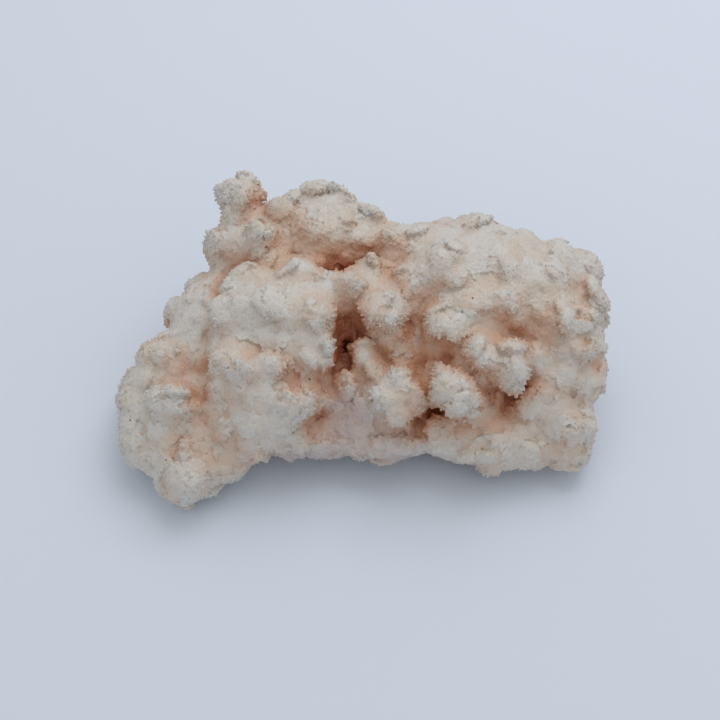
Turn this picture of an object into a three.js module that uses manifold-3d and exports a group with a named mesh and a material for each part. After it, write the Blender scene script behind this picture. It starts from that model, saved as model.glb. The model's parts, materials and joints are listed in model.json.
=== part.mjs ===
// Aragonite specimen: a hand-sized cluster of cave aragonite, broken off the rock it grew on.
//
// The cluster is one piece of mineral. A few rounded masses are its body, and blunt knobs grow out
// of each mass in every free direction. All of them are joined into one closed solid, which is cut
// off flat where it left the rock. Millimetres, +Z up, +X along the length. The finished solid is
// moved so that the origin lies in the cut, below the middle of the cluster.

import * as THREE from 'three';
import { mergeVertices } from 'three/addons/utils/BufferGeometryUtils.js';
import Module from 'manifold-3d';

const wasm = await Module();
wasm.setup();

// Driving sizes ------------------------------------------------------------------------------

const HEAD_STEPS = 3;        // rings from a knob's tip to the back of its head
const KNOB_SIDES = 7;        // facets around a knob
const HEAD_TURN = 1.9;       // how far the round head runs back from its tip, in radians
const STALK_SHARE = 0.72;    // a stalk's radius at its root, as a share of the head's
const MASS_DETAIL = 2;       // how finely a mass's sphere is divided
const RIM_STANDS_OUT = 1;    // how far the middle of a rim knob's head stands out of its mass
const RIM_VARIES = 0.14;     // how much rim knobs differ in size, as a share of their radius
const CUT_DEPTH = 40;        // height of the block that takes the underside away
const CUT_WIDTH = 200;

// The masses, from the right-hand block round to the low left end -------------------------------

const masses = {
  block: { at: [22, 3, 14], radii: [19, 13, 17] },
  end: { at: [40, -1, 13], radii: [12, 13, 15] },
  middle: { at: [4, 0, 11], radii: [13, 14, 13] },
  crown: { at: [-17, -3, 14], radii: [15, 15, 17] },
  dome: { at: [-9, 17, 15], radii: [12, 12, 18] },
  tower: { at: [-25, 17, 13], radii: [10, 10, 18] },
  foot: { at: [-38, -12, 7], radii: [13, 14, 10] },
};

// Knobs ----------------------------------------------------------------------------------------
// Each row is the middle of a knob's round head and its radius: x, y, z, radius.

const knobs = {
  block: [
    // the ridge along its back
    [8, 18, 31, 5], [14, 17, 32, 5], [21, 17, 32, 5], [28, 18, 33, 5.5],
    // the broad top
    [12, 6, 32, 5], [20, 8, 33, 7.5], [31, 9, 32, 8.5], [31, 1, 30, 7], [24, -1, 31, 6],
    // the front, down to the ground
    [18, -6, 30, 4.5], [26, -11, 28, 5], [32, -13, 26, 5], [22, -19, 22, 5],
    [14, -20, 9, 4.5], [21, -22, 10, 5.5], [27, -20, 14, 5],
  ],
  end: [
    // along the top of the back
    [36, 16, 31, 5.5], [43, 14, 29, 6], [50, 13, 26, 6.5],
    // the top and the right-hand side
    [40, 7, 30, 8], [41, 0, 28, 6.5], [50, 5, 24, 6.5],
    // blunt fingers that point outwards to the right
    [45, -5, 25, 5], [50, -4, 20, 5], [44, -10, 20, 5], [50, -10, 15, 5], [46, -19, 12, 6.5],
    [46, -22, 7, 6],
    // the front, down to the ground
    [39, -16, 17, 5], [38, -24, 8, 4.5], [32, -23, 9, 6.5],
  ],
  middle: [
    [8, 13, 27, 5], [2, 9, 31, 4.5], [5, -3, 31, 5], [8, -17, 19, 6.5], [1, -17, 14, 5],
    [2, -22, 9, 5], [8, -22, 9, 5], [-6, -20, 10, 5],
  ],
  crown: [
    [-25, 5, 31, 5.5], [-13, 5, 32, 6], [-2, 4, 30, 5.5], [-28, -2, 29, 6], [-20, -1, 31, 6.5],
    [-12, -4, 30, 7], [-26, -10, 24, 7], [-13, -10, 23, 6], [-19, -15, 20, 5.5], [-14, -19, 20, 5],
    [-29, -18, 16, 5.5], [-22, -20, 14, 6], [-15, -22, 11, 5.5], [-27, -24, 9, 5],
  ],
  dome: [
    [-15, 25, 33, 6.5], [-7, 26, 33, 7], [-1, 21, 30, 6], [-11, 19, 30, 6],
  ],
  tower: [
    [-28, 30, 35, 5], [-27, 26, 31, 5], [-31, 20, 28, 5], [-24, 18, 31, 5], [-20, 24, 31, 4.5],
  ],
  foot: [
    [-37, 6, 20, 6.5], [-37, -4, 20, 5.5], [-44, -7, 17, 7], [-48, -13, 12, 7.5], [-39, -19, 18, 5],
    [-47, -22, 9, 7], [-39, -24, 12, 6], [-38, -30, 8, 7.5], [-30, -26, 8, 6],
  ],
};

// Rows of knobs around the back of a mass: the height of their heads, the first and last direction
// in degrees around +Z from +X, how many they are, and their radius.
const rims = {
  block: [
    { height: 21, from: 60, to: 130, count: 3, radius: 6 },
    { height: 9, from: 60, to: 130, count: 3, radius: 6 },
  ],
  end: [
    { height: 18, from: 35, to: 75, count: 2, radius: 6 },
    { height: 8, from: 38, to: 80, count: 2, radius: 6 },
  ],
  middle: [],
  crown: [{ height: 9, from: 160, to: 190, count: 2, radius: 5 }],
  dome: [
    { height: 20, from: 40, to: 110, count: 2, radius: 6.5 },
    { height: 9, from: 30, to: 120, count: 3, radius: 6 },
  ],
  tower: [
    { height: 19, from: 120, to: 190, count: 2, radius: 5 },
    { height: 8, from: 100, to: 190, count: 2, radius: 5 },
  ],
  foot: [{ height: 7, from: 100, to: 150, count: 2, radius: 5.5 }],
};

// Geometry ------------------------------------------------------------------------------------

// A closed mesh whose corners are shared becomes a solid.
function solidOf(geometry) {
  geometry.deleteAttribute('normal');
  geometry.deleteAttribute('uv');
  const merged = mergeVertices(geometry);
  return new wasm.Manifold(new wasm.Mesh({
    numProp: 3,
    vertProperties: new Float32Array(merged.attributes.position.array),
    triVerts: new Uint32Array(merged.index.array),
  }));
}

function geometryOf(solid) {
  const mesh = solid.getMesh();
  const geometry = new THREE.BufferGeometry();
  geometry.setAttribute('position', new THREE.BufferAttribute(mesh.vertProperties, mesh.numProp));
  geometry.setIndex(new THREE.BufferAttribute(mesh.triVerts, 1));
  return geometry;
}

function massSolid({ at, radii }) {
  const geometry = new THREE.IcosahedronGeometry(1, MASS_DETAIL);
  geometry.scale(...radii);
  geometry.translate(...at);
  return solidOf(geometry);
}

// The place in a mass that a knob grows from: on the line or sheet that the mass is rounded about.
function rootOf({ at, radii }, head) {
  const least = Math.min(...radii);
  return new THREE.Vector3(
    ...at.map((middle, axis) => middle + (head[axis] - middle) * (1 - least / radii[axis])),
  );
}

// A knob is turned about its own axis: a round head on a stalk that tapers to its root.
function knobSolid(mass, [x, y, z, radius]) {
  const head = new THREE.Vector3(x, y, z);
  const root = rootOf(mass, [x, y, z]);
  const length = head.distanceTo(root);
  const profile = [new THREE.Vector2(0, -length), new THREE.Vector2(radius * STALK_SHARE, -length)];
  for (let step = HEAD_STEPS; step > 0; step -= 1) {
    const turn = (HEAD_TURN * step) / HEAD_STEPS;
    profile.push(new THREE.Vector2(radius * Math.sin(turn), radius * Math.cos(turn)));
  }
  profile.push(new THREE.Vector2(0, radius));
  const geometry = new THREE.LatheGeometry(profile, KNOB_SIDES);
  const growth = head.clone().sub(root).normalize();
  geometry.applyQuaternion(new THREE.Quaternion().setFromUnitVectors(new THREE.Vector3(0, 1, 0), growth));
  geometry.translate(x, y, z);
  return solidOf(geometry);
}

// The same stream of numbers from 0 to 1 on every run.
let seed = 7;
function chance() {
  seed = (seed * 16807) % 2147483647;
  return seed / 2147483647;
}

function rimRows({ at, radii }, { height, from, to, count, radius }) {
  return Array.from({ length: count }, (_, index) => {
    const turn = THREE.MathUtils.degToRad(from + ((to - from) * index) / (count - 1));
    const size = radius * (1 + RIM_VARIES * (2 * chance() - 1));
    return [
      at[0] + (radii[0] + RIM_STANDS_OUT) * Math.cos(turn),
      at[1] + (radii[1] + RIM_STANDS_OUT) * Math.sin(turn),
      height * (1 + RIM_VARIES * (2 * chance() - 1)),
      size,
    ];
  });
}

const solids = [];
for (const [name, mass] of Object.entries(masses)) {
  solids.push(massSolid(mass));
  const rows = [...knobs[name], ...rims[name].flatMap((rim) => rimRows(mass, rim))];
  for (const row of rows) {
    solids.push(knobSolid(mass, row));
  }
}
const below = new THREE.BoxGeometry(CUT_WIDTH, CUT_WIDTH, CUT_DEPTH);
below.translate(0, 0, -CUT_DEPTH / 2);
const cluster = wasm.Manifold.union(solids).subtract(solidOf(below));

const geometry = geometryOf(cluster);
geometry.computeBoundingBox();
const middle = geometry.boundingBox.getCenter(new THREE.Vector3());
geometry.translate(-middle.x, -middle.y, 0);

const material = new THREE.MeshStandardMaterial({ color: 0xd9c6b8, roughness: 0.5, metalness: 0 });
const mesh = new THREE.Mesh(geometry, material);
mesh.name = 'aragonite_cluster';
const specimen = new THREE.Group();
specimen.add(mesh);
export default specimen;
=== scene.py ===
# %% [markdown]
# # An aragonite cluster
# The object is a hand-sized piece of cave aragonite: rounded masses that carry blunt knobs, and
# over the knobs a crust of small, frosted, blunt crystals. Iron has stained the deep places
# between the knobs orange and rust brown, and the outermost crystals are almost white. The
# frame's one solid gives the masses and the large knobs. This script grows the small knobs and
# the crystals on it, in the same order as the mineral did.

import json
import math

import bpy
import numpy as np
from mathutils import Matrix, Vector

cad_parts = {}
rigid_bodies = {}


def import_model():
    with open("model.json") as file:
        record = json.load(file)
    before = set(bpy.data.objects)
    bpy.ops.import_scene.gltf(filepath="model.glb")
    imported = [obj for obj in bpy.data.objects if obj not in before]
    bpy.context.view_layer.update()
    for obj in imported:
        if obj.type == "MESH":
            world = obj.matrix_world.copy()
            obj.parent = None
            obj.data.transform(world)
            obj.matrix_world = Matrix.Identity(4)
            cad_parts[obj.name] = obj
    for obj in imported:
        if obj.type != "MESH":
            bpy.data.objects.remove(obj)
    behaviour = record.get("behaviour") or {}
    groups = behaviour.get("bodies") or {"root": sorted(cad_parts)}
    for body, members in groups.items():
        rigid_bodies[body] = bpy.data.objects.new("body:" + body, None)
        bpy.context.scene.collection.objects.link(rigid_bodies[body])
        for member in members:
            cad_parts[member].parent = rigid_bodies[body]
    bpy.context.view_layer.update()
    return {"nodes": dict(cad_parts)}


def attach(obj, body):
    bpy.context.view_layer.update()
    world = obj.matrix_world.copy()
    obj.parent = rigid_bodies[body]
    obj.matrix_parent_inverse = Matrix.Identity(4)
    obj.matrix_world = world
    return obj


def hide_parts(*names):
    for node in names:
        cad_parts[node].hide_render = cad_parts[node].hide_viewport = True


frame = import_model()
MM = 0.001

# %% [markdown]
# Blender's operators act on whatever is selected, so a small helper selects one object alone
# before each of them. Modifiers are applied at once, which leaves plain meshes.


# %% Helpers for selecting objects and applying modifiers
def select_only(*objects):
    bpy.ops.object.select_all(action="DESELECT")
    for piece in objects:
        piece.select_set(True)
    bpy.context.view_layer.objects.active = objects[0]


def apply_modifier(piece, kind, **settings):
    select_only(piece)
    modifier = piece.modifiers.new(kind.title(), kind)
    for name, value in settings.items():
        setattr(modifier, name, value)
    bpy.ops.object.modifier_apply(modifier=modifier.name)


def join_into(piece, others):
    select_only(piece, *others)
    bpy.ops.object.join()


def triangles(piece):
    piece.data.calc_loop_triangles()
    return len(piece.data.loop_triangles)


# %% [markdown]
# Nodes are used twice: in materials, and in Geometry Nodes, which measure the surface and grow
# the crystals on it. The two small classes below let both be written as plain expressions.


# %% A value worked out by nodes, and the sheet of nodes it lives on
class Value:
    """An output of a node. Python's own signs on it add Math nodes."""

    def __init__(self, sheet, node, socket):
        self.sheet, self.node, self.socket = sheet, node, socket

    def out(self, name):
        found = next(s for s in self.node.outputs if s.name == name and s.enabled)
        return Value(self.sheet, self.node, found)

    def math(self, operation, *terms, clamp=False):
        settings = {"operation": operation, "use_clamp": clamp}
        return self.sheet.add("ShaderNodeMath", settings, dict(enumerate(terms)))

    def __add__(self, other):
        return self.math("ADD", self, other)

    def __sub__(self, other):
        return self.math("SUBTRACT", self, other)

    def __rsub__(self, other):
        return self.math("SUBTRACT", other, self)

    def __mul__(self, other):
        return self.math("MULTIPLY", self, other)

    def __truediv__(self, other):
        return self.math("DIVIDE", self, other)

    def __pow__(self, other):
        return self.math("POWER", self, other)

    def clamped(self):
        return self.math("ADD", self, 0, clamp=True)

    __radd__, __rmul__ = __add__, __mul__


class Sheet:
    """The node tree of a material or of a Geometry Nodes modifier."""

    def __init__(self, tree):
        self.tree = tree

    def add(self, kind, settings=None, sockets=None):
        node = self.tree.nodes.new(kind)
        for name, value in (settings or {}).items():
            if name == "stops":
                self.fill_ramp(node.color_ramp, value)
            else:
                setattr(node, name, value)
        for name, value in (sockets or {}).items():
            self.plug(self.input_of(node, name), value)
        first = next((s for s in node.outputs if s.enabled), None)
        return Value(self, node, first)

    def input_of(self, node, name):
        if isinstance(name, int):
            return node.inputs[name]
        return next(s for s in node.inputs if s.name == name and s.enabled)

    def plug(self, socket, value):
        if isinstance(value, Value):
            self.tree.links.new(value.socket, socket)
        else:
            socket.default_value = value

    def fill_ramp(self, ramp, stops):
        while len(ramp.elements) < len(stops):
            ramp.elements.new(1)
        for element, (place, colour) in zip(ramp.elements, stops):
            element.position, element.color = place, (*colour, 1)

    def mix(self, factor, first, second):
        return self.add(
            "ShaderNodeMix", {"data_type": "RGBA"}, {"Factor": factor, "A": first, "B": second}
        )

    def vector(self, operation, first, second):
        return self.add("ShaderNodeVectorMath", {"operation": operation}, {0: first, 1: second})

    def scaled(self, vector, factor):
        return self.add("ShaderNodeVectorMath", {"operation": "SCALE"},
                        {"Vector": vector, "Scale": factor})

    def part(self, vector, letter):
        return self.add("ShaderNodeSeparateXYZ", None, {"Vector": vector}).out(letter)

    def attribute(self, name):
        return self.add("ShaderNodeAttribute", {"attribute_name": name}).out("Fac")


# %% Start and end a Geometry Nodes recipe
def new_recipe(name):
    tree = bpy.data.node_groups.new(name, "GeometryNodeTree")
    tree.interface.new_socket("Geometry", in_out="INPUT", socket_type="NodeSocketGeometry")
    tree.interface.new_socket("Geometry", in_out="OUTPUT", socket_type="NodeSocketGeometry")
    sheet = Sheet(tree)
    return sheet, sheet.add("NodeGroupInput")


def follow_recipe(piece, sheet, result):
    sheet.add("NodeGroupOutput", None, {"Geometry": result})
    apply_modifier(piece, "NODES", node_group=sheet.tree)


def named(sheet, name, kind="FLOAT"):
    return sheet.add("GeometryNodeInputNamedAttribute", {"data_type": kind}, {"Name": name})


def store(sheet, geometry, name, value, kind="FLOAT", **sockets):
    """Stores a value under a name at every corner of a mesh."""
    return sheet.add("GeometryNodeStoreNamedAttribute", {"data_type": kind, "domain": "POINT"},
                     {"Geometry": geometry, "Name": name, "Value": value, **sockets})


def blurred(sheet, value, steps):
    return sheet.add("GeometryNodeBlurAttribute", {"data_type": "FLOAT"},
                     {"Value": value, "Iterations": steps})


def placed(sheet, geometry, **sockets):
    return sheet.add("GeometryNodeSetPosition", None, {"Geometry": geometry, **sockets})


def without(sheet, geometry, unfit):
    return sheet.add("GeometryNodeDeleteGeometry", {"domain": "POINT"},
                     {"Geometry": geometry, "Selection": unfit})


def mesh_of(sheet, piece):
    return sheet.add("GeometryNodeObjectInfo", None, {"Object": piece}).out("Geometry")


def chance(sheet, low, high, seed):
    kind = "FLOAT_VECTOR" if isinstance(low, tuple) else "FLOAT"
    sockets = {"Min": low, "Max": high, "Seed": seed}
    return sheet.add("FunctionNodeRandomValue", {"data_type": kind}, sockets)


# %% [markdown]
# The camera looks down at the cluster from the front, halfway between level and overhead.

# %% Place the camera
CAMERA_TARGET = Vector((-0.8, -6.1, 19.0)) * MM
CAMERA_DISTANCE = 300 * MM
CAMERA_ELEVATION = math.radians(50)
CAMERA_FIELD = math.radians(30.4)

camera = bpy.data.objects.new("camera", bpy.data.cameras.new("camera"))
bpy.context.scene.collection.objects.link(camera)
back = Vector((0, -math.cos(CAMERA_ELEVATION), math.sin(CAMERA_ELEVATION)))
camera.location = CAMERA_TARGET + back * CAMERA_DISTANCE
camera.rotation_euler = (math.pi / 2 - CAMERA_ELEVATION, 0, 0)
camera.data.angle = CAMERA_FIELD
camera.data.clip_start = 10 * MM
bpy.context.scene.camera = camera
print("lens, mm:", round(camera.data.lens, 1))

# %% [markdown]
# The floor is a sheet of plain, slightly bluish paper. A broad soft lamp behind and above the
# cluster lights its top, and the world's faintly warm light fills in the front. Warm light in the
# shade also stands for the light that wanders through the real mineral.

# %% Build the floor
FLOOR_SIDE = 4.0
FLOOR_COLOUR = (0.77, 0.855, 0.98)
PAPER_ROUGHNESS = 0.9
PAPER_SHINE = 0.2

bpy.ops.mesh.primitive_plane_add(size=FLOOR_SIDE, location=(0, 0, 0))
floor = bpy.context.object
floor.name = "paper_floor"
paper = bpy.data.materials.new("paper")
paper.use_nodes = True
paper_shader = paper.node_tree.nodes["Principled BSDF"]
paper_shader.inputs["Roughness"].default_value = PAPER_ROUGHNESS
paper_shader.inputs["Specular IOR Level"].default_value = PAPER_SHINE
paper_shader.inputs["Base Color"].default_value = (*FLOOR_COLOUR, 1)
floor.data.materials.append(paper)
print("floor side, m:", FLOOR_SIDE)

# %% Light the scene
WORLD_COLOUR, WORLD_STRENGTH = (1.0, 0.98, 0.965), 0.545
LAMP_ENERGY, LAMP_SIDE = 1.20, 0.50
LAMP_PLACE = Vector((0.15, 0.27, 0.57))

world = bpy.data.worlds.new("room_light")
world.use_nodes = True
world_background = world.node_tree.nodes["Background"]
world_background.inputs["Color"].default_value = (*WORLD_COLOUR, 1)
world_background.inputs["Strength"].default_value = WORLD_STRENGTH
bpy.context.scene.world = world

lamp_data = bpy.data.lights.new("window_lamp", "AREA")
lamp_data.energy, lamp_data.size = LAMP_ENERGY, LAMP_SIDE
lamp = bpy.data.objects.new("window_lamp", lamp_data)
bpy.context.scene.collection.objects.link(lamp)
lamp.location = LAMP_PLACE
lamp.rotation_euler = (-LAMP_PLACE).to_track_quat("-Z", "Y").to_euler()
bpy.context.scene.view_settings.view_transform = "Standard"
print("lamp height, mm:", round(lamp.location.z / MM))

# %% [markdown]
# The body starts as a copy of the frame's solid. Its loose triangles are merged first, so that it
# is one closed skin.

# %% Copy the solid as the body
MERGE_DISTANCE = 0.01 * MM

body = bpy.data.objects.new("cluster_body", frame["nodes"]["aragonite_cluster"].data.copy())
bpy.context.scene.collection.objects.link(body)
body.data.materials.clear()
select_only(body)
bpy.ops.object.mode_set(mode="EDIT")
bpy.ops.mesh.select_all(action="SELECT")
bpy.ops.mesh.remove_doubles(threshold=MERGE_DISTANCE)
bpy.ops.object.mode_set(mode="OBJECT")
print("body starts with", triangles(body), "triangles")

# %% [markdown]
# The solid's large knobs are balls. On the real mineral the valleys between them have grown over,
# so a smoothed copy of the body is joined to it: smoothing draws the heads in and the valleys
# out, so the copy shows only in the valleys. A voxel remesh then makes one skin of the two.

# %% Grow the valleys over
BODY_VOXEL = 0.65 * MM
VALLEY_SMOOTHING = 80
VALLEY_SWELLING = -0.2 * MM


def copy_of(piece, name):
    copy = bpy.data.objects.new(name, piece.data.copy())
    bpy.context.scene.collection.objects.link(copy)
    return copy


def fill_with_smoothed_copy(piece, iterations, swelling):
    filling = copy_of(piece, "filling")
    apply_modifier(filling, "SMOOTH", factor=1.0, iterations=iterations)
    apply_modifier(filling, "DISPLACE", strength=swelling, mid_level=0)
    join_into(piece, [filling])
    apply_modifier(piece, "REMESH", mode="VOXEL", voxel_size=BODY_VOXEL)


apply_modifier(body, "REMESH", mode="VOXEL", voxel_size=BODY_VOXEL)
fill_with_smoothed_copy(body, VALLEY_SMOOTHING, VALLEY_SWELLING)
print("body with filled valleys:", triangles(body), "triangles")

# %% [markdown]
# Between the large knobs stand smaller ones, which the frame's solid leaves out. Each is a round
# head on a tapering stalk that reaches back into the body.

# %% Add the small knobs
# Each row is the middle of a head and its radius in millimetres: x, y, z, radius.
SMALL_KNOBS = [
    # the tower's lobes and its horn
    (-28.0, 28.4, 31.2, 4.5), (-29.5, 20.5, 31.0, 3.6), (-22.5, 18.0, 34.0, 4.0),
    (-35.5, 25.0, 28.0, 1.5), (-11.5, 29.5, 37.3, 2.8), (-4.5, 28.0, 37.3, 2.8),
    (1.0, 25.0, 32.5, 4.2), (-2.0, 19.0, 33.0, 3.0), (-8.7, 21.5, 31.5, 7.5),
    (-18.2, 21.6, 29.5, 5.0),
    # teeth along the back of the crown, and the lobe right of it
    (-15.5, 7.5, 37.0, 1.7), (-11.5, 6.5, 36.5, 1.8), (-8.0, 5.0, 35.0, 1.7),
    (-3.0, 3.5, 34.0, 3.4), (0.5, 3.5, 32.5, 2.6),
    # the foot's upper lobe and the lobes between it and the crown
    (-40.0, -20.0, 21.5, 3.6), (-44.0, -18.5, 19.5, 3.4), (-39.0, -28.0, 13.5, 2.6),
    (-30.0, -22.0, 16.5, 3.8), (-24.0, -22.5, 17.0, 4.6), (-23.0, -26.0, 11.5, 2.8),
    (-13.5, -24.5, 13.0, 3.2), (-9.5, -22.5, 9.5, 2.8),
    # the oval knob and its neighbours at the right of the crown
    (-15.5, -21.0, 23.0, 3.8), (-12.5, -21.0, 23.0, 3.2), (-9.0, -12.0, 26.0, 2.6),
    (-9.0, -9.5, 30.5, 2.4), (-8.5, -17.0, 19.0, 2.2), (-13.0, -12.0, 28.0, 2.8),
    # above the deep recess in the middle of the front
    (-0.2, -9.3, 24.3, 3.6), (2.0, -4.5, 33.5, 2.6), (6.0, -5.0, 33.0, 2.6),
    (5.0, -1.5, 35.0, 1.5), (7.5, -5.5, 28.5, 2.2), (11.5, 2.0, 29.0, 1.8),
    (11.8, -2.5, 26.5, 1.9), (15.0, -3.5, 32.5, 2.2), (18.3, -8.0, 32.0, 2.8),
    (16.4, -7.0, 25.5, 2.7), (5.7, -7.0, 22.5, 1.6),
    # the knobs below it
    (7.5, -15.5, 25.0, 3.0), (4.4, -19.5, 22.0, 3.4), (11.0, -18.7, 22.0, 3.0),
    (7.9, -22.5, 18.5, 2.8), (18.0, -18.5, 26.5, 3.9), (20.7, -21.0, 24.5, 4.0),
    (23.0, -22.5, 22.0, 2.8), (16.5, -20.5, 13.5, 2.8),
    # the blunt fingers right of it
    (26.3, -14.0, 29.0, 3.4), (32.2, -12.0, 29.5, 2.8), (32.8, -16.2, 27.5, 2.5),
    (31.5, -17.0, 24.5, 2.7), (33.7, -4.5, 30.5, 1.4), (28.5, -12.0, 22.0, 3.4),
    # the crowded slope below the deep recess
    (-3.5, -13.5, 20.5, 2.6), (-0.5, -16.0, 18.5, 2.8), (2.5, -14.0, 20.5, 2.2),
    (-5.0, -18.0, 15.5, 2.6), (-1.0, -20.5, 14.0, 2.4), (13.8, -17.5, 20.0, 2.4),
    (7.0, 1.5, 31.0, 2.6), (10.5, 4.5, 33.5, 3.0), (4.0, 6.0, 30.0, 3.4),
    # the floor of the recesses between the knobs
    (15.5, -13.0, 20.0, 3.2), (13.0, -15.5, 12.5, 3.2), (30.0, -12.0, 16.5, 3.4),
    (20.5, -15.0, 17.0, 3.2), (25.0, -16.5, 15.0, 3.0), (10.0, -8.0, 21.0, 3.0),
    (-20.0, 12.5, 31.0, 3.8), (-15.0, 12.0, 31.0, 3.4), (-36.0, -11.0, 15.5, 4.0),
    (6.0, 3.5, 26.0, 3.6), (-3.0, -1.0, 22.5, 3.0), (-6.5, -14.5, 16.5, 3.0),
    (-3.0, -17.0, 12.5, 3.2), (3.5, -19.5, 14.5, 2.8), (8.0, -21.0, 12.0, 2.8),
    (-8.0, -20.0, 12.5, 2.6), (8.0, -6.0, 24.5, 3.0), (14.5, -7.5, 22.5, 3.2),
    (18.5, -11.5, 21.0, 3.0), (9.5, 0.5, 30.0, 3.0), (-36.5, -19.5, 15.0, 2.6),
    # the shoulder left of the crown, and the seam between it, the crown and the foot
    (-38.5, 5.0, 22.0, 4.5), (-41.0, 0.0, 19.0, 4.5), (-36.5, 0.0, 21.0, 4.5),
    (-42.0, 9.0, 18.5, 4.5), (-37.5, -4.5, 20.0, 4.2), (-37.0, -9.5, 18.0, 3.4),
    (-35.0, 12.0, 23.5, 4.2), (-34.0, -13.5, 17.5, 3.2), (-33.5, -19.0, 16.5, 3.2),
    (-35.5, 5.0, 25.5, 3.6), (-36.0, -1.0, 24.0, 3.4), (-34.5, -7.0, 22.5, 3.2),
    (-41.0, -14.5, 18.0, 3.2),
    # the front of the crown
    (-31.0, -13.0, 28.0, 3.2), (-25.0, -16.0, 28.0, 3.4), (-19.5, -15.5, 29.0, 3.4),
    (-31.0, -16.5, 22.5, 3.4), (-25.5, -19.5, 22.5, 3.6), (-20.5, -20.0, 23.5, 3.4),
    (-18.5, -22.5, 18.0, 3.4), (-28.5, -19.0, 18.0, 3.2),
    # the ridge along the back of the block
    (9.5, 27.0, 24.5, 3.8), (15.3, 27.0, 25.0, 3.8), (20.0, 27.5, 26.5, 3.8),
    (26.0, 27.5, 27.5, 3.8), (33.0, 25.5, 24.8, 3.6), (8.0, 23.5, 26.5, 4.0),
    (13.0, 23.5, 27.5, 4.2), (18.5, 24.0, 28.0, 4.4), (24.5, 24.0, 28.5, 4.4),
    (30.0, 23.0, 27.5, 4.4), (35.5, 21.0, 26.0, 4.2),
    # the layers at the right of the front
    (37.0, -18.0, 15.0, 3.4), (43.0, -16.0, 12.5, 3.8), (37.5, -9.0, 24.5, 3.2),
    (43.0, -4.0, 30.5, 3.2), (49.5, -2.5, 30.0, 3.2), (34.0, -22.0, 10.5, 3.2),
    (41.0, -21.5, 8.5, 3.2), (47.5, -18.0, 9.5, 3.4), (45.0, -10.0, 16.5, 3.4),
    # the lower row
    (-3.0, -22.5, 10.0, 3.0), (1.9, -25.0, 11.5, 2.8), (5.9, -24.5, 11.5, 2.8),
    (9.4, -25.0, 11.0, 2.3), (16.5, -24.5, 11.5, 3.0), (23.2, -26.0, 10.5, 3.2),
    (27.7, -27.0, 5.0, 1.9), (29.0, -26.0, 12.5, 2.8), (49.0, -22.0, 15.0, 2.8),
    # the right-hand side
    (40.3, -12.5, 21.5, 3.2), (46.8, -8.0, 26.0, 3.4), (47.0, -12.5, 20.5, 3.2),
    (52.5, -5.5, 23.0, 2.4), (53.0, -8.5, 19.5, 1.9), (51.6, -12.5, 17.5, 2.6),
    (55.0, -4.0, 22.5, 1.0), (45.5, 15.5, 34.0, 1.3),
]
STALK_SIDES = 8
STALK_LENGTH, STALK_FOOT, STALK_NECK = 2.0, 0.6, 0.8  # in radii of the head
CORE_HEIGHT = 10 * MM
CORE_SHARE = 0.85


def growth_of(place):
    """The direction in which the mineral grew at a place: away from the cluster's core."""
    core = Vector((place.x * CORE_SHARE, 0, CORE_HEIGHT))
    return (place - core).normalized()


def add_knob(place, radius):
    growth = growth_of(place)
    turn = growth.to_track_quat("Z", "Y").to_euler()
    bpy.ops.mesh.primitive_ico_sphere_add(subdivisions=2, radius=radius, location=place)
    head = bpy.context.object
    bpy.ops.mesh.primitive_cone_add(
        vertices=STALK_SIDES, radius1=radius * STALK_FOOT, radius2=radius * STALK_NECK,
        depth=radius * STALK_LENGTH,
        location=place - growth * radius * STALK_LENGTH / 2, rotation=turn,
    )
    return [head, bpy.context.object]


knobs = []
for x, y, z, radius in SMALL_KNOBS:
    knobs += add_knob(Vector((x, y, z)) * MM, radius * MM)
join_into(body, knobs)
print("small knobs:", len(SMALL_KNOBS))

# %% Round the body off
ROUNDING = 2

apply_modifier(body, "REMESH", mode="VOXEL", voxel_size=BODY_VOXEL)
apply_modifier(body, "SMOOTH", iterations=ROUNDING)
print("rounded body:", triangles(body), "triangles")

# %% [markdown]
# The recesses between the knobs are only a few millimetres deep, because the mineral kept filling
# them. Another smoothed copy, swollen a little this time, is such a filling: the knobs' heads
# stand out of it, and it becomes the floor of the recesses between them.

# %% Fill the recesses
FILLING_SMOOTHING = 80
FILLING_SWELLING = 0.6 * MM

fill_with_smoothed_copy(body, FILLING_SMOOTHING, FILLING_SWELLING)
print("body with filled recesses:", triangles(body), "triangles")

# %% [markdown]
# Two wide hollows lie under the front, where the cluster arches off the floor. The others are
# small and deep, and hold most of the rust. All are cut with flattened balls.

# %% Cut the deep hollows
# Each row is x, y, z and then the three radii, all in millimetres.
BALL_SIDES, BALL_RINGS = 24, 12
HOLLOWS = [
    (3.0, -28.0, 0.0, 27.0, 13.0, 7.0), (36.0, -31.0, 0.0, 24.0, 11.0, 5.5),
    (-7.7, 9.5, 31.5, 2.6, 2.4, 3.0), (-4.2, -3.5, 22.5, 1.8, 2.6, 3.2),
    (-6.5, -12.5, 14.0, 2.0, 2.6, 2.8), (12.5, -14.5, 13.0, 2.4, 2.4, 1.8),
]

for x, y, z, *radii in HOLLOWS:
    bpy.ops.object.select_all(action="DESELECT")
    bpy.ops.mesh.primitive_uv_sphere_add(segments=BALL_SIDES, ring_count=BALL_RINGS, radius=1)
    hollow = bpy.context.object
    bpy.ops.object.mode_set(mode="EDIT")
    bpy.ops.transform.resize(value=Vector(radii) * MM)
    bpy.ops.transform.translate(value=Vector((x, y, z)) * MM)
    bpy.ops.object.mode_set(mode="OBJECT")
    apply_modifier(body, "BOOLEAN", operation="DIFFERENCE", solver="MANIFOLD", object=hollow)
    bpy.data.objects.remove(hollow)
print("body with hollows:", triangles(body), "triangles")

# %% [markdown]
# The crystals that cover the body bring it to its true size, so it is first pulled in by the
# thickness of their crust, except where it rests on the floor. The crust isn't equally thick
# everywhere, so the body is also scaled by a hundredth or two along each axis, which brings the
# cluster to the size of the frame's solid.

# %% Make room for the crust
CRUST = 0.75 * MM
CRUST_ROOM = (1.01, 1.005, 0.98)
FLOOR_MARGIN = 0.4 * MM

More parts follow.
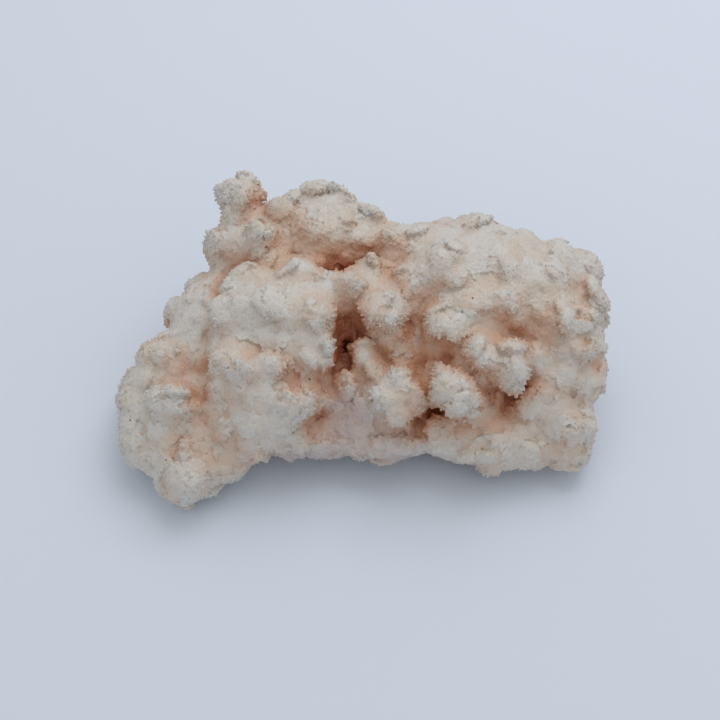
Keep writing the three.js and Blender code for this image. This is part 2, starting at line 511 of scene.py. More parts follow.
select_only(body)
bpy.ops.object.mode_set(mode="EDIT")
bpy.ops.mesh.select_all(action="SELECT")
bpy.ops.transform.resize(value=CRUST_ROOM, center_override=(0, 0, 0))
bpy.ops.object.mode_set(mode="OBJECT")
above = body.vertex_groups.new(name="above_the_floor")
above.add([v.index for v in body.data.vertices if v.co.z > FLOOR_MARGIN], 1, "REPLACE")
apply_modifier(body, "DISPLACE", strength=-CRUST, mid_level=0, vertex_group=above.name)
body.vertex_groups.clear()
apply_modifier(body, "REMESH", mode="VOXEL", voxel_size=BODY_VOXEL)
print("body without its crust:", triangles(body), "triangles")

# %% [markdown]
# Iron stains whatever is shut in, and nothing grows where there is no room. Shade falls in the
# same shut-in places, so the colour made later from this measure is partly the stain and partly
# painted shade. From every corner of a mesh, rays go out in all directions, and the share that
# meets mineral says how shut in that place is. Rays that go inwards instead say how thin the
# mineral is there: they soon come out again behind a rim or a tip. The rays are Raycast nodes,
# which are quick on large meshes.

# %% Measure how shut in and how thin every place is
RAY_COUNT = 40
RAY_START = 0.25 * MM
GOLDEN_TURN = math.pi * (3 - math.sqrt(5))


def even_directions(count):
    for step in range(count):
        height = 1 - (2 * step + 1) / count
        across = math.sqrt(1 - height * height)
        turn = GOLDEN_TURN * step
        yield (across * math.cos(turn), across * math.sin(turn), height)


def measure(piece, around, reach, name, blur):
    """Keeps on a piece the share of rays that meet the object around it, or, with no object, of
    inward rays that meet the piece's own skin again."""
    sheet, start = new_recipe(name)
    normal = sheet.add("GeometryNodeInputNormal")
    if around:
        target = mesh_of(sheet, around)
    else:
        target, normal = start, sheet.scaled(normal, -1.0)
    place = sheet.add("GeometryNodeInputPosition")
    origin = sheet.vector("ADD", place, sheet.scaled(normal, RAY_START))
    met = total = 0
    for direction in even_directions(RAY_COUNT):
        facing = sheet.vector("DOT_PRODUCT", normal, direction).out("Value")
        facing = facing.math("MAXIMUM", facing, 0.0)
        ray = sheet.add("GeometryNodeRaycast", None, {
            "Target Geometry": target, "Source Position": origin,
            "Ray Direction": direction, "Ray Length": reach})
        met = ray.out("Is Hit") * facing + met
        total = facing + total
    share = blurred(sheet, met / total, blur)
    follow_recipe(piece, sheet, store(sheet, start, name, share))


def values_of(piece, name):
    layer = piece.data.attributes[name]
    found = np.empty(len(layer.data), np.float32)
    layer.data.foreach_get("value", found)
    return found


# %% Measure the body
FAR_RAYS = 12 * MM
THIN_RAYS = 4 * MM
BODY_BLUR = 1


def measure_all(piece, blur):
    around = copy_of(piece, "around")
    measure(piece, around, FAR_RAYS, "shut_in", blur)
    measure(piece, None, THIN_RAYS, "thin", blur)
    bpy.data.objects.remove(around)
    for name in ("shut_in", "thin"):
        found = values_of(piece, name)
        print(name, "tenths:", np.percentile(found, range(10, 100, 10)).round(2))


measure_all(body, BODY_BLUR)

# %% [markdown]
# Every knob is covered with rosettes, which are flat round caps of crystals with a toothed rim.
# They overlap like scales, and each is tilted a little, so that one side of its rim stands out.

# %% Choose where things grow
DENSEST = 5e6  # points on a square metre
BED = 0.8 * MM  # below this height lies the face that the cluster rests on
DOWN = -0.8  # a level face underneath looks further down than this


def chosen_points(sheet, start, spacing, seed, limits):
    """Points spread evenly over a mesh, none past the limits: nothing grows on level tops, on
    what is too shut in or too thin, or on the face underneath."""
    scatter = sheet.add(
        "GeometryNodeDistributePointsOnFaces", {"distribute_method": "POISSON"},
        {"Mesh": start, "Distance Min": spacing, "Density Max": DENSEST, "Seed": seed},
    )
    height = sheet.part(sheet.add("GeometryNodeInputPosition"), "Z")
    facing = sheet.part(scatter.out("Normal"), "Z")
    low = height.math("LESS_THAN", height, BED)
    down = facing.math("LESS_THAN", facing, DOWN)
    level = facing.math("GREATER_THAN", facing, limits["level"])
    tight = facing.math("GREATER_THAN", named(sheet, "shut_in"), limits["shut_in"])
    slim = facing.math("GREATER_THAN", named(sheet, "thin"), limits["thin"])
    unfit = (tight + level + slim + low * down).clamped()
    return scatter, without(sheet, scatter, unfit)


def joined_with(sheet, first, second):
    join = sheet.add("GeometryNodeJoinGeometry")
    sheet.tree.links.new(first.socket, join.node.inputs[0])
    sheet.tree.links.new(second.socket, join.node.inputs[0])
    return join


# %% Model the rosettes
# Each row is a name, the number of teeth, how flat it is, how far the teeth reach and how oval.
ROSETTES = [
    ("rosette_small", 8, 0.44, 1.22, 1.05),
    ("rosette_middle", 11, 0.38, 1.17, 1.12),
    ("rosette_large", 13, 0.34, 1.14, 0.92),
]
ROSETTE_RINGS = 8
RIM_HEIGHT = 0.5  # the teeth reach so far up and down, in radii


def model_rosette(name, teeth, flatness, tooth, oval):
    """A flattened ball whose rim has so many teeth."""
    bpy.ops.mesh.primitive_uv_sphere_add(segments=2 * teeth, ring_count=ROSETTE_RINGS, radius=1)
    rosette = bpy.context.object
    rosette.name = name
    for vertex in rosette.data.vertices:
        column = round(math.atan2(vertex.co.y, vertex.co.x) / math.pi * teeth)
        vertex.select = column % 2 == 0 and abs(vertex.co.z) < RIM_HEIGHT
    bpy.ops.object.mode_set(mode="EDIT")
    bpy.ops.mesh.select_mode(type="VERT")
    bpy.ops.transform.resize(value=(tooth, tooth, 1))
    bpy.ops.mesh.select_all(action="SELECT")
    bpy.ops.transform.resize(value=(oval, 1 / oval, flatness))
    bpy.ops.object.mode_set(mode="OBJECT")
    return rosette


def set_aside(pieces, name):
    """A collection of the pieces that is itself left out of the scene."""
    collection = bpy.data.collections.new(name)
    for piece in pieces:
        collection.objects.link(piece)
        bpy.context.scene.collection.objects.unlink(piece)
    return collection


rosettes = [model_rosette(*row) for row in ROSETTES]
rosette_shapes = set_aside(rosettes, "rosette_shapes")
print("triangles of the rosettes:", [triangles(rosette) for rosette in rosettes])

# %% [markdown]
# Geometry Nodes scatter thousands of rosettes, each with its own size, tilt and turn.

# %% Grow the rosettes
ROSETTE_SPACING = 2.4 * MM
ROSETTE_LIMITS = {"level": 0.9, "shut_in": 0.93, "thin": 0.3}
ROSETTE_SIZES = (1.4, 3.2)  # in millimetres
ROSETTE_RARITY = 1.7  # above one, large ones are rarer than small ones
ROSETTE_LIFTS = (-0.4, 0.1)  # in millimetres, along the normal
ROSETTE_TILT = 0.32
ROSETTE_SEEDS = {"points": 11, "lean": 12, "turn": 13, "size": 14, "lift": 15}


def copies_of(sheet, collection, rotation, points, tilt, size, seeds):
    """A shape of the collection at every point, with a random tilt and turn."""
    lean = chance(sheet, (-1.0, -1.0, 0.0), (1.0, 1.0, 0.0), seeds["lean"])
    turn = chance(sheet, (0.0, 0.0, -math.pi), (0.0, 0.0, math.pi), seeds["turn"])
    angles = sheet.vector("ADD", sheet.scaled(lean, tilt), turn)
    turned = sheet.add("FunctionNodeRotateRotation", {"rotation_space": "LOCAL"}, {
        "Rotation": rotation,
        "Rotate By": sheet.add("FunctionNodeEulerToRotation", None, {"Euler": angles})})
    group = sheet.add("GeometryNodeCollectionInfo", None, {
        "Collection": collection, "Separate Children": True, "Reset Children": True})
    copies = sheet.add("GeometryNodeInstanceOnPoints", None, {
        "Points": points, "Instance": group, "Pick Instance": True, "Rotation": turned,
        "Scale": size})
    return sheet.add("GeometryNodeRealizeInstances", None, {"Geometry": copies})


sheet, start = new_recipe("rosettes")
scatter, points = chosen_points(sheet, start, ROSETTE_SPACING, ROSETTE_SEEDS["points"],
                                ROSETTE_LIMITS)
lift = chance(sheet, *ROSETTE_LIFTS, ROSETTE_SEEDS["lift"]) * MM
raised = placed(sheet, points, Offset=sheet.scaled(scatter.out("Normal"), lift))
size = chance(sheet, 0.0, 1.0, ROSETTE_SEEDS["size"]) ** ROSETTE_RARITY
size = (size * (ROSETTE_SIZES[1] - ROSETTE_SIZES[0]) + ROSETTE_SIZES[0]) * MM
grown = copies_of(sheet, rosette_shapes, scatter.out("Rotation"), raised, ROSETTE_TILT, size,
                  ROSETTE_SEEDS)
follow_recipe(body, sheet, joined_with(sheet, start, grown))
print("body with rosettes:", triangles(body), "triangles")

# %% [markdown]
# Measured on the rosettes themselves, every tooth would get its own colour. The real stain, and
# the shade painted with it, are much softer, so the measures are taken again on a coarse,
# smoothed copy of the grown body.

# %% Measure on a smooth skin
SKIN_VOXEL = 0.6 * MM
SKIN_SMOOTHING = 3
SKIN_BLUR = 3

skin = copy_of(body, "skin")
apply_modifier(skin, "REMESH", mode="VOXEL", voxel_size=SKIN_VOXEL)
apply_modifier(skin, "SMOOTH", iterations=SKIN_SMOOTHING)
print("skin:", triangles(skin), "triangles")
measure_all(skin, SKIN_BLUR)

# %% [markdown]
# The rosettes only lie on the body so far, and a fine voxel remesh turns both into one skin. The
# smooth skin is smoothed further, and what it knows is carried over: the two measures, and its
# normal, with which the material softens the shading later.

# %% Grow the rosettes and the body together
SOFT_SMOOTHING = 16
CRUST_VOXEL = 0.29 * MM

apply_modifier(skin, "SMOOTH", iterations=SOFT_SMOOTHING)
apply_modifier(body, "REMESH", mode="VOXEL", voxel_size=CRUST_VOXEL)
print("body grown together:", triangles(body), "triangles")


# %% Carry the measures over to the body
def carry_over(piece, skin):
    """Keeps on a piece what was measured on the smooth skin."""
    sheet, kept = new_recipe("carry over")
    source = mesh_of(sheet, skin)
    measures = {
        "shut_in": ("FLOAT", named(sheet, "shut_in")),
        "thin": ("FLOAT", named(sheet, "thin")),
        "soft_normal": ("FLOAT_VECTOR", sheet.add("GeometryNodeInputNormal")),
    }
    for name, (kind, value) in measures.items():
        found = sheet.add("GeometryNodeSampleNearestSurface", {"data_type": kind},
                          {"Mesh": source, "Value": value})
        kept = store(sheet, kept, name, found, kind)
    follow_recipe(piece, sheet, kept)


carry_over(body, skin)
bpy.data.objects.remove(skin)

# %% [markdown]
# Seen closely, the surface is built of overlapping plates with toothed rims, and every tooth is a
# crystal. Voronoi patterns of two scales work together here. The cells of the fine one are the
# crystals. The cells of the coarse one are the plates, and a plate takes whole crystals only, so
# its rim follows their outlines. Each plate leans, so it stands proud of its neighbours on one
# side. The crystals rise most on the thin rims, and least on the heads of the knobs.

# %% Grow plates and crystals
# Sizes are in millimetres. A plate's slope is its rise along the surface, and its step lifts it
# as a whole. Its stain and shade is how much of the peach colour collects where it lies low:
# partly stain, and partly painted shade below the raised rims of the plates around it.
PLATE_ROWS = [
    {"spacing": 6.5, "slope": 0.06, "step": 0.16, "stain_and_shade": 0.12},
    {"spacing": 3.0, "slope": 0.05, "step": 0.10, "stain_and_shade": 0.05},
]
CRYSTAL_SPACING = 1.15
CRYSTAL_RISE = (0.46, 1.2)  # on a level surface, and added on the thinnest rims
CRYSTAL_LEAN = 0.4
THIN_LIMIT = 0.3
HEAD_START = 0.5  # the cosine at which the head of a knob begins
HEAD_SMOOTHNESS = 0.6
CRYSTAL_TURN = (0.5, 0.7, 0.3)
FLOOR_CORNER = (-1.0, -1.0, 0.0)  # every place is kept above it; its sides are far away


def centred(sheet, colour):
    """A cell's random colour as a random vector around nought."""
    return sheet.vector("SUBTRACT", colour, (0.5, 0.5, 0.5))


def heading_of(sheet, place, normal):
    """From nought on the sides of the knobs to one on their heads, which face outwards."""
    core = sheet.vector("MULTIPLY", place, (CORE_SHARE, 0.0, 0.0))
    core = sheet.vector("ADD", core, (0.0, 0.0, CORE_HEIGHT))
    growth = sheet.vector("NORMALIZE", sheet.vector("SUBTRACT", place, core), (0, 0, 0))
    facing = sheet.vector("DOT_PRODUCT", normal, growth).out("Value")
    return ((facing - HEAD_START) / (1 - HEAD_START)).clamped()


def cells_of(sheet, place, spacing, distance="EUCLIDEAN"):
    return sheet.add("ShaderNodeTexVoronoi", {"distance": distance},
                     {"Vector": place, "Scale": 1 / (spacing * MM)})


def grow_plates_and_crystals(piece):
    sheet, start = new_recipe("plates and crystals")
    place = sheet.add("GeometryNodeInputPosition")
    normal = sheet.add("GeometryNodeInputNormal")
    turned = sheet.add("ShaderNodeVectorRotate", {"rotation_type": "EULER_XYZ"},
                       {"Vector": place, "Rotation": CRYSTAL_TURN})
    crystal = cells_of(sheet, place, CRYSTAL_SPACING)
    facets = cells_of(sheet, turned, CRYSTAL_SPACING, "MANHATTAN")
    rise, stain_and_shade = 0.0, 0.0
    for row in PLATE_ROWS:
        plate = cells_of(sheet, crystal.out("Position"), row["spacing"])
        lean = centred(sheet, plate.out("Color"))
        along = sheet.vector("SUBTRACT", place, plate.out("Position"))
        climb = sheet.vector("DOT_PRODUCT", along, lean).out("Value") * (2 * row["slope"])
        height = climb + sheet.part(lean, "X") * row["step"] * MM
        rise = height + rise
        # Peach where a plate lies low: partly stain, partly painted shade under the rims above it.
        stain_and_shade = (0 - height / (row["slope"] * row["spacing"] * MM)) * row["stain_and_shade"] + stain_and_shade
    peak = (1 - facets).clamped() * MM
    thin = named(sheet, "thin")
    thin = thin.math("MINIMUM", thin, THIN_LIMIT)
    heading = heading_of(sheet, place, named(sheet, "soft_normal", "FLOAT_VECTOR"))
    peak = peak * (CRYSTAL_RISE[0] + CRYSTAL_RISE[1] * thin) * (1 - heading * HEAD_SMOOTHNESS)
    leaning = sheet.scaled(centred(sheet, facets.out("Color")), CRYSTAL_LEAN)
    offset = sheet.vector("ADD", sheet.scaled(normal, rise),
                          sheet.scaled(sheet.vector("ADD", normal, leaning), peak))
    height = sheet.part(place, "Z")
    above = height.math("GREATER_THAN", height, FLOOR_MARGIN)
    # The peach of low places, stain and painted shade together, is kept as the low measure.
    kept = store(sheet, start, "low", stain_and_shade)
    kept = placed(sheet, kept, Offset=offset, Selection=above)
    kept = placed(sheet, kept, Position=sheet.vector("MAXIMUM", place, FLOOR_CORNER))
    follow_recipe(piece, sheet, kept)


grow_plates_and_crystals(body)
print("corners of the body:", len(body.data.vertices))

# %% [markdown]
# The stain isn't even. The iron came in through a few deep openings, and the broad tops are
# made whiter than the rest. Each such place is a soft spot: a middle, a radius and a strength.
# The spots add to the same amount as the measures, so in the recesses they deepen painted shade
# as well as stain. The greyish mauve low on the front is painted shade alone.

# %% Place the stains and the painted shade
# Each row is x, y, z and the radius in millimetres, and the strength. Whiter places are negative.
STAIN_AND_SHADE_SPOTS = [
    # the deepest recess, right of the crown, and the ledge above it
    (-4.2, -1.9, 21.1, 7.0, 0.90), (-8.6, -9.6, 24.2, 5.0, 0.55), (-4.5, -3.5, 28.0, 5.0, 0.35),
    # the hollows round the knobs in the middle
    (8.7, -1.9, 23.5, 5.5, 0.50), (14.9, -7.0, 20.7, 6.0, 0.55), (19.2, -10.0, 23.7, 5.0, 0.50),
    (12.4, -18.2, 13.2, 5.0, 0.30), (31.9, -12.9, 14.8, 8.0, 0.50), (40.0, -5.0, 31.0, 6.0, 0.12),
    # the slit between foot and crown, the recess above it, and the pale lobes round them
    (-36.0, -20.1, 15.7, 4.0, 0.60), (-40.0, -10.3, 17.8, 4.0, 0.30),
    (-28.0, -16.0, 18.0, 9.0, -0.10), (-38.5, 2.0, 20.0, 10.0, -0.25),
    (-35.0, -12.0, 18.0, 7.0, -0.20), (-48.0, -20.0, 10.0, 14.0, -0.10),
    # the hollow below the dome, the one behind the middle, and the tower's foot
    (-7.7, 11.8, 29.7, 7.5, 0.52), (5.4, 8.1, 27.0, 7.0, 0.25), (8.8, 3.2, 31.3, 5.0, 0.15),
    (-23.0, 25.0, 30.0, 5.0, 0.20), (20.0, 9.0, 37.0, 7.0, 0.10), (-16.0, 20.0, 33.0, 9.0, 0.08),
    # the whitest tops
    (-22.0, -6.0, 34.0, 15.0, -0.14), (-36.0, 8.0, 26.0, 14.0, -0.10),
    (24.0, 14.0, 40.0, 20.0, -0.06), (-46.0, -16.0, 18.0, 14.0, -0.08),
    (46.0, 12.0, 34.0, 16.0, -0.05),
]
# Painted shade: the lowest part of the front, in the middle, is made greyish mauve where shade
# falls on it.
PAINTED_SHADE_PLACES = [
    (-2.0, -19.0, 16.0, 10.0, 0.75), (6.0, -24.0, 9.0, 10.0, 0.70),
    (-14.0, -26.0, 7.0, 10.0, 0.65), (-6.0, -22.0, 8.0, 9.0, 0.45),
]


def spots(sheet, place, rows):
    """The sum of all soft spots at a place. Each fades out along an S-curve."""
    total = 0.0
    for *middle, radius, strength in rows:
        far = sheet.vector("DISTANCE", place, Vector(middle) * MM).out("Value")
        near = (1 - far / (radius * MM)).clamped()
        total = near * near * (3 - 2 * near) * strength + total
    return total


def stain_and_shade(piece):
    sheet, kept = new_recipe("stains")
    place = sheet.add("GeometryNodeInputPosition")
    # Stains and painted shade in the recesses add to low; painted shade on the lower front is kept
    # apart.
    amounts = {"low": spots(sheet, place, STAIN_AND_SHADE_SPOTS) + named(sheet, "low"),
               "mauve": spots(sheet, place, PAINTED_SHADE_PLACES)}
    for name, value in amounts.items():
        kept = store(sheet, kept, name, value)
    follow_recipe(piece, sheet, kept)


stain_and_shade(body)
print("low tenths:", np.percentile(values_of(body, "low"), range(10, 100, 10)).round(2))

# %% [markdown]
# The voxel remesh spends as many triangles on a level place as on a crystal. Decimate takes away
# the ones that show least.

# %% Thin the mesh out
SKIN_TRIANGLES = 780_000

apply_modifier(body, "DECIMATE", ratio=min(1, SKIN_TRIANGLES / triangles(body)))
print("body with crystals:", triangles(body), "triangles")

# %% [markdown]
# Along the rims and on the small knobs the youngest crystals stand free. They are short blunt
# spikes with a few sides, half buried in the skin. Thousands are needed, so each is a cone of at
# most twenty triangles.

# %% Model the spikes
SPIKE_LENGTH = 1.6
# Each row is the number of sides, the radius of the foot and that of the tip.
SPIKES = [(4, 0.85, 0.25), (5, 0.80, 0.15), (6, 0.90, 0.35)]


def model_spike(sides, foot, tip):
    bpy.ops.object.select_all(action="DESELECT")
    bpy.ops.mesh.primitive_cone_add(vertices=sides, radius1=foot, radius2=tip,
                                    depth=SPIKE_LENGTH)
    spike = bpy.context.object
    spike.name = f"spike_{sides}"
    return spike


spikes = [model_spike(*row) for row in SPIKES]
spike_shapes = set_aside(spikes, "spike_shapes")
print("triangles of the spikes:", [triangles(spike) for spike in spikes])

# %% [markdown]
# A mesh this fine is divided into regions, so that each is light enough to handle. A region is
# what lies nearer to its own middle than to any other. A spike belongs to the region in which its
# root lies, so none is cut in two, and it remembers that region's number. The middles are put
# into a mesh, because a node can search that.

# %% Mark the middles of the regions
REGIONS = {
    "foot": (-50, -16, 8), "shoulder": (-42, 8, 16), "apron": (-26, -26, 8),
    "crown": (-22, -4, 26), "tower": (-30, 28, 20), "dome": (-8, 28, 22),
    "middle": (2, -18, 12), "heart": (4, 0, 30), "roof": (22, 10, 34), "front": (24, -24, 12),
    "end_top": (44, 8, 28), "end": (48, -18, 10), "back": (26, 34, 6),
}

middles = bpy.data.objects.new("middles", bpy.data.meshes.new("middles"))
middles.data.from_pydata([Vector(middle) * MM for middle in REGIONS.values()], [], [])
bpy.context.scene.collection.objects.link(middles)
print("regions:", len(REGIONS))

# %% Grow the spikes
SPIKE_SPACING = 0.92 * MM
SPIKE_LIMITS = {"level": 0.75, "shut_in": 0.5, "thin": 1.0}
SPIKE_RIM = 0.045  # they grow only where the mineral is thinner than this
SPIKE_BED = 1.4 * MM  # and above this height
SPIKE_SIZES = (0.42, 0.72)  # in millimetres
SPIKE_GAIN = 0.9  # how much larger they are on the thinnest rims
SPIKE_LIFT = -0.05 * MM
SPIKE_TILT = 0.45
SPIKE_SEEDS = {"points": 31, "lean": 32, "turn": 33, "size": 34}


def grow_spikes(body, middles):
    """Turns a copy of the body into its spikes alone."""
    sheet, start = new_recipe("spikes")
    scatter, points = chosen_points(sheet, start, SPIKE_SPACING, SPIKE_SEEDS["points"],
                                    SPIKE_LIMITS)
    place = sheet.add("GeometryNodeInputPosition")
    height, thin = sheet.part(place, "Z"), named(sheet, "thin")
    unfit = thin.math("LESS_THAN", thin, SPIKE_RIM) + height.math("LESS_THAN", height, SPIKE_BED)
    points = without(sheet, points, unfit.clamped())
    soft = named(sheet, "soft_normal", "FLOAT_VECTOR")
    home = sheet.add("GeometryNodeSampleNearest", None, {
        "Geometry": mesh_of(sheet, middles), "Sample Position": place})
    size = chance(sheet, *SPIKE_SIZES, SPIKE_SEEDS["size"])
    size = size * (thin.math("MINIMUM", thin, THIN_LIMIT) * SPIKE_GAIN + 1) * MM
    size = size * (1 - heading_of(sheet, place, soft) * HEAD_SMOOTHNESS)
    for name, value in {"home": home, "size": size}.items():
        points = store(sheet, points, name, value)
    rotation = sheet.add("FunctionNodeAlignRotationToVector", {"axis": "Z"}, {"Vector": soft})
    raised = placed(sheet, points, Offset=sheet.scaled(soft, SPIKE_LIFT))
    grown = copies_of(sheet, spike_shapes, rotation, raised, SPIKE_TILT, named(sheet, "size"),
                      SPIKE_SEEDS)
    follow_recipe(body, sheet, grown)


all_spikes = copy_of(body, "all_spikes")
grow_spikes(all_spikes, middles)
print("spikes:", triangles(all_spikes), "triangles")

# %% [markdown]
# To cut a region out of the body, a block is trimmed by planes halfway to the other middles, and
# the body is intersected with what is left. The regions meet exactly, and their inner walls never
# show. The cut adds corners along its edges that know no measures, so these take the mean of
# their neighbours' values. A mark on the old corners tells the two kinds apart.

# %% Make the cells that cut the regions
BLOCK_SIZE = Vector((136, 98, 60)) * MM


def cell_of(name):
    """What lies nearer to this middle than to any other, cut down plane by plane."""
    bpy.ops.mesh.primitive_cube_add(size=1, location=(0, 0, BLOCK_SIZE.z / 2))
    cell = bpy.context.object
    bpy.ops.object.mode_set(mode="EDIT")
    bpy.ops.transform.resize(value=BLOCK_SIZE)
    own = Vector(REGIONS[name]) * MM
    for other in REGIONS.values():
        outwards = (Vector(other) * MM - own) / 2
        if outwards.length:
            bpy.ops.mesh.select_all(action="SELECT")
            bpy.ops.mesh.bisect(plane_co=own + outwards, plane_no=outwards.normalized(),
                                clear_outer=True, use_fill=True)
    bpy.ops.object.mode_set(mode="OBJECT")
    return cell


# %% Mark the old corners, and mend the new ones
KNOWN_LIMIT = 0.5  # old corners are marked with one, new ones with nought
MEND_REACH = 2  # in corners
LEAST_WEIGHT = 0.01


def mark_known(piece):
    sheet, start = new_recipe("known")
    follow_recipe(piece, sheet, store(sheet, start, "known", 1.0))


def mend_cut(piece):
    """Gives the new corners the mean of what their old neighbours know."""
    sheet, kept = new_recipe("mend")
    known = named(sheet, "known")
    missing = known.math("LESS_THAN", known, KNOWN_LIMIT)
    for name in ("shut_in", "thin", "low", "mauve"):
        sum_near = blurred(sheet, named(sheet, name), MEND_REACH)
        weight = blurred(sheet, known, MEND_REACH)
        mean = sum_near / weight.math("MAXIMUM", weight, LEAST_WEIGHT)
        kept = store(sheet, kept, name, mean, Selection=missing)
    kept = store(sheet, kept, "soft_normal", sheet.add("GeometryNodeInputNormal"),
                 "FLOAT_VECTOR", Selection=missing)
    follow_recipe(piece, sheet, kept)


mark_known(body)
print("marked corners:", int(values_of(body, "known").sum()))

# %% [markdown]
# Each region is joined with its spikes. Its shading is smooth, but edges sharper than forty
# degrees, such as those of the spikes, stay crisp.

# %% Divide the cluster into regions
CRISP_ANGLE = math.radians(40)


def spikes_of(number):
    """The spikes whose roots lie in the region of this number."""
    own = copy_of(all_spikes, "own_spikes")
    sheet, start = new_recipe("own spikes")
    away = named(sheet, "home") - number
    away = away.math("GREATER_THAN", away.math("ABSOLUTE", away), KNOWN_LIMIT)
    follow_recipe(own, sheet, without(sheet, start, away))
    return own


def region_of(number, name):
    piece = copy_of(body, name)
    cell = cell_of(name)
    apply_modifier(piece, "BOOLEAN", operation="INTERSECT", solver="MANIFOLD", object=cell)
    bpy.data.objects.remove(cell)
    new_corners = int((values_of(piece, "known") < KNOWN_LIMIT).sum())
    mend_cut(piece)
    join_into(piece, [spikes_of(number)])
    select_only(piece)
    bpy.ops.object.shade_smooth_by_angle(angle=CRISP_ANGLE)
    print(name, triangles(piece), "triangles,", new_corners, "corners mended")
    return piece


pieces = [region_of(number, name) for number, name in enumerate(REGIONS)]

# %% [markdown]
# The mineral is white where it stands out, cream and peach lower down, and rust in the depths.
# All of that is one number, the amount of stain and painted shade, which a colour ramp turns into
# a colour: the deep colours are partly the iron's stain and partly painted shade in the recesses.
# It is what was measured on the skin: shut-in places are stained and painted darker with shade,
# and a slow drift keeps it from following the shape too closely. Thin rims aren't stained; they
# are whiter, partly in their own colour and partly as painted light shining through them. Low on
# the front the colour leans to mauve, which is painted shade.

# %% Choose the colours
FROST = (0.72, 0.70, 0.67)
WHITE = (0.70, 0.655, 0.60)
CREAM = (0.70, 0.595, 0.51)
PEACH = (0.70, 0.505, 0.395)
ORANGE = (0.66, 0.36, 0.22)
# The deepest colour is the iron's rust darkened further as painted shade in the recesses.
RUST_AND_SHADE = (0.42, 0.14, 0.065)
# Painted shade for the lowest part of the front.
PAINTED_SHADE_MAUVE = (0.53, 0.42, 0.425, 1)
# The darker stops hold the iron stain and the painted shade of the recesses together.
STAIN_AND_SHADE_STOPS = [
    (0.0, FROST), (0.05, WHITE), (0.14, CREAM), (0.28, PEACH), (0.52, ORANGE), (0.76, RUST_AND_SHADE),
]
SHUT_IN_SHARE = 0.85
# Thin rims are whiter: partly their own colour, partly painted light shining through them.
RIM_WHITE_AND_LIGHT_SHARE = 0.15
DRIFT = 9 * MM
DRIFT_DETAIL = 3.0
DRIFT_SHARE = 0.28
BASE_AMOUNT = 0.05


def stain_and_shade_colour(sheet, place):
    drift = sheet.add("ShaderNodeTexNoise", None,
                      {"Vector": place, "Scale": 1 / DRIFT, "Detail": DRIFT_DETAIL})
    # Shut-in and low places get the stain and the painted shade of the recesses.
    amount = sheet.attribute("shut_in") * SHUT_IN_SHARE + sheet.attribute("low")
    amount = amount + (drift - 0.5) * DRIFT_SHARE
    # Thin rims are made whiter: their own white and painted light shining through them.
    amount = amount - sheet.attribute("thin") * RIM_WHITE_AND_LIGHT_SHARE + BASE_AMOUNT
    colour = sheet.add("ShaderNodeValToRGB", {"stops": STAIN_AND_SHADE_STOPS}, {"Fac": amount})
    # Painted shade turns the lowest part of the front greyish mauve.
    return sheet.mix(sheet.attribute("mauve").clamped(), colour, PAINTED_SHADE_MAUVE)


# %% [markdown]
# A few dark specks of another mineral lie on the surface. Each is the middle of a wide Voronoi
# cell, drawn as a small soft-edged dot, and most cells have theirs below the surface.

# %% Scatter the specks
SPECK_SPACING = 7.5 * MM
SPECK_RADIUS = 0.3 * MM
SPECK_EDGE = 0.12 * MM
SPECK_COLOUR = (0.09, 0.06, 0.05, 1)


def specked(sheet, place, colour):
    speck = sheet.add("ShaderNodeTexVoronoi", None, {"Vector": place, "Scale": 1 / SPECK_SPACING})
    speck = ((SPECK_RADIUS - speck * SPECK_SPACING) / SPECK_EDGE).clamped()
    return sheet.mix(speck, colour, SPECK_COLOUR)


# %% [markdown]
# The crystals are too small to model one facet at a time, so a bump gives them facets: a Voronoi
# pattern with straight sides, in two sizes. Light also wanders a little way through the mineral,
# which softens its shading. So the bump starts from a mix of the true normal and the smooth
# skin's, but only where the two agree: on the sides of a spike, the smooth normal would be wrong.

# %% Make facets and soften the shading
GRAINS = [(1.1 * MM, 0.4), (0.45 * MM, 0.5)]  # the size of the facets, and how steep they are
GRAIN_TURN = (0.4, 0.9, 0.2)
GRAIN_DEPTH = 0.25 * MM
SOFTNESS = 0.8


def softened_normal(sheet):
    own = sheet.add("ShaderNodeNewGeometry").out("Normal")
    soft = sheet.attribute("soft_normal").out("Vector")
    alike = sheet.vector("DOT_PRODUCT", own, soft).out("Value")
    softness = alike.clamped() * SOFTNESS
    mixed = sheet.vector("ADD", sheet.scaled(own, 1 - softness), sheet.scaled(soft, softness))
    return sheet.vector("NORMALIZE", mixed, (0, 0, 0))


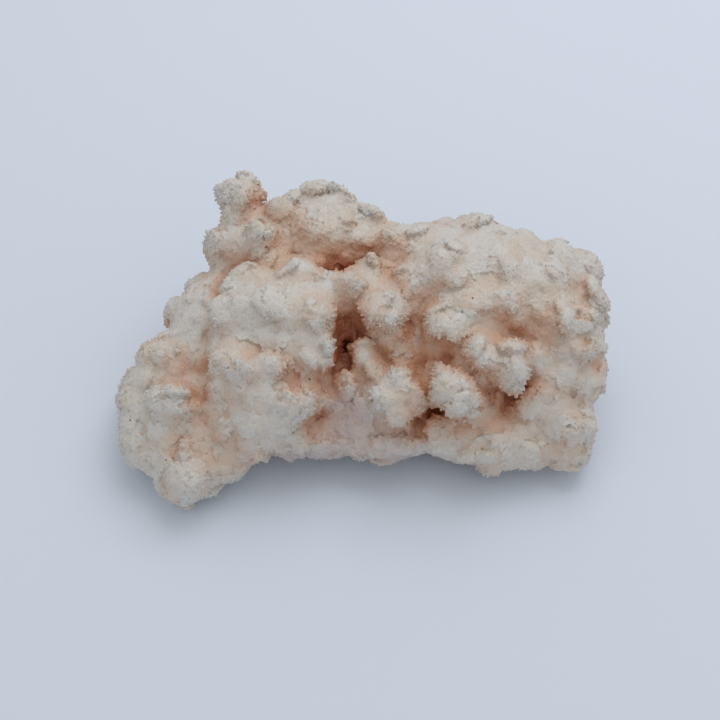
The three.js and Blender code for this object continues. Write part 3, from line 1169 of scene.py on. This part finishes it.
def faceted_normal(sheet, place):
    turned = sheet.add("ShaderNodeVectorRotate", {"rotation_type": "EULER_XYZ"},
                       {"Vector": place, "Rotation": GRAIN_TURN})
    grain = 0.0
    for size, steepness in GRAINS:
        facets = sheet.add("ShaderNodeTexVoronoi", {"distance": "MANHATTAN"},
                           {"Vector": turned, "Scale": 1 / size})
        grain = facets * (size * steepness / MM) + grain
    return sheet.add("ShaderNodeBump", {"invert": True}, {
        "Height": grain, "Distance": GRAIN_DEPTH, "Strength": 1.0,
        "Normal": softened_normal(sheet)})


# %% [markdown]
# Every crystal has its own gloss, so here and there one glints. The colour of a Voronoi cell is a
# random number, which spreads the roughness between its two ends.

# %% Mix the mineral's material
ROUGHNESS = (0.26, 0.55)  # from the glossiest crystals to the dullest
GLOSS_SPACING = 1.1 * MM
REFRACTION = 1.55


def roughness_of(sheet, place):
    crystal = sheet.add("ShaderNodeTexVoronoi", None, {"Vector": place, "Scale": 1 / GLOSS_SPACING})
    dullness = sheet.add("ShaderNodeSeparateColor", None, {"Color": crystal.out("Color")})
    return dullness * (ROUGHNESS[1] - ROUGHNESS[0]) + ROUGHNESS[0]


def mineral(name):
    material = bpy.data.materials.new(name)
    material.use_nodes = True
    sheet = Sheet(material.node_tree)
    shader = material.node_tree.nodes["Principled BSDF"]
    place = sheet.add("ShaderNodeTexCoord").out("Object")
    colour = specked(sheet, place, stain_and_shade_colour(sheet, place))
    sheet.plug(shader.inputs["Base Color"], colour)
    sheet.plug(shader.inputs["Roughness"], roughness_of(sheet, place))
    sheet.plug(shader.inputs["Normal"], faceted_normal(sheet, place))
    shader.inputs["IOR"].default_value = REFRACTION
    print("nodes of the material:", len(material.node_tree.nodes))
    return material


frosted = mineral("frosted_aragonite")
for piece in pieces:
    piece.data.materials.clear()
    piece.data.materials.append(frosted)

# %% [markdown]
# Everything that was only used for making goes. The regions stand for the frame's solid, which
# they replace, and all of them ride on its one body, because a mineral has nothing that moves.

# %% Remove what was only used for making
for helper in (body, all_spikes, middles, *rosettes, *spikes):
    bpy.data.objects.remove(helper)
for collection in (rosette_shapes, spike_shapes):
    bpy.data.collections.remove(collection)

# %% Put every piece on the frame
for piece in pieces:
    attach(piece, "root")
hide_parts("aragonite_cluster")
print("triangles in all:", sum(triangles(piece) for piece in pieces))
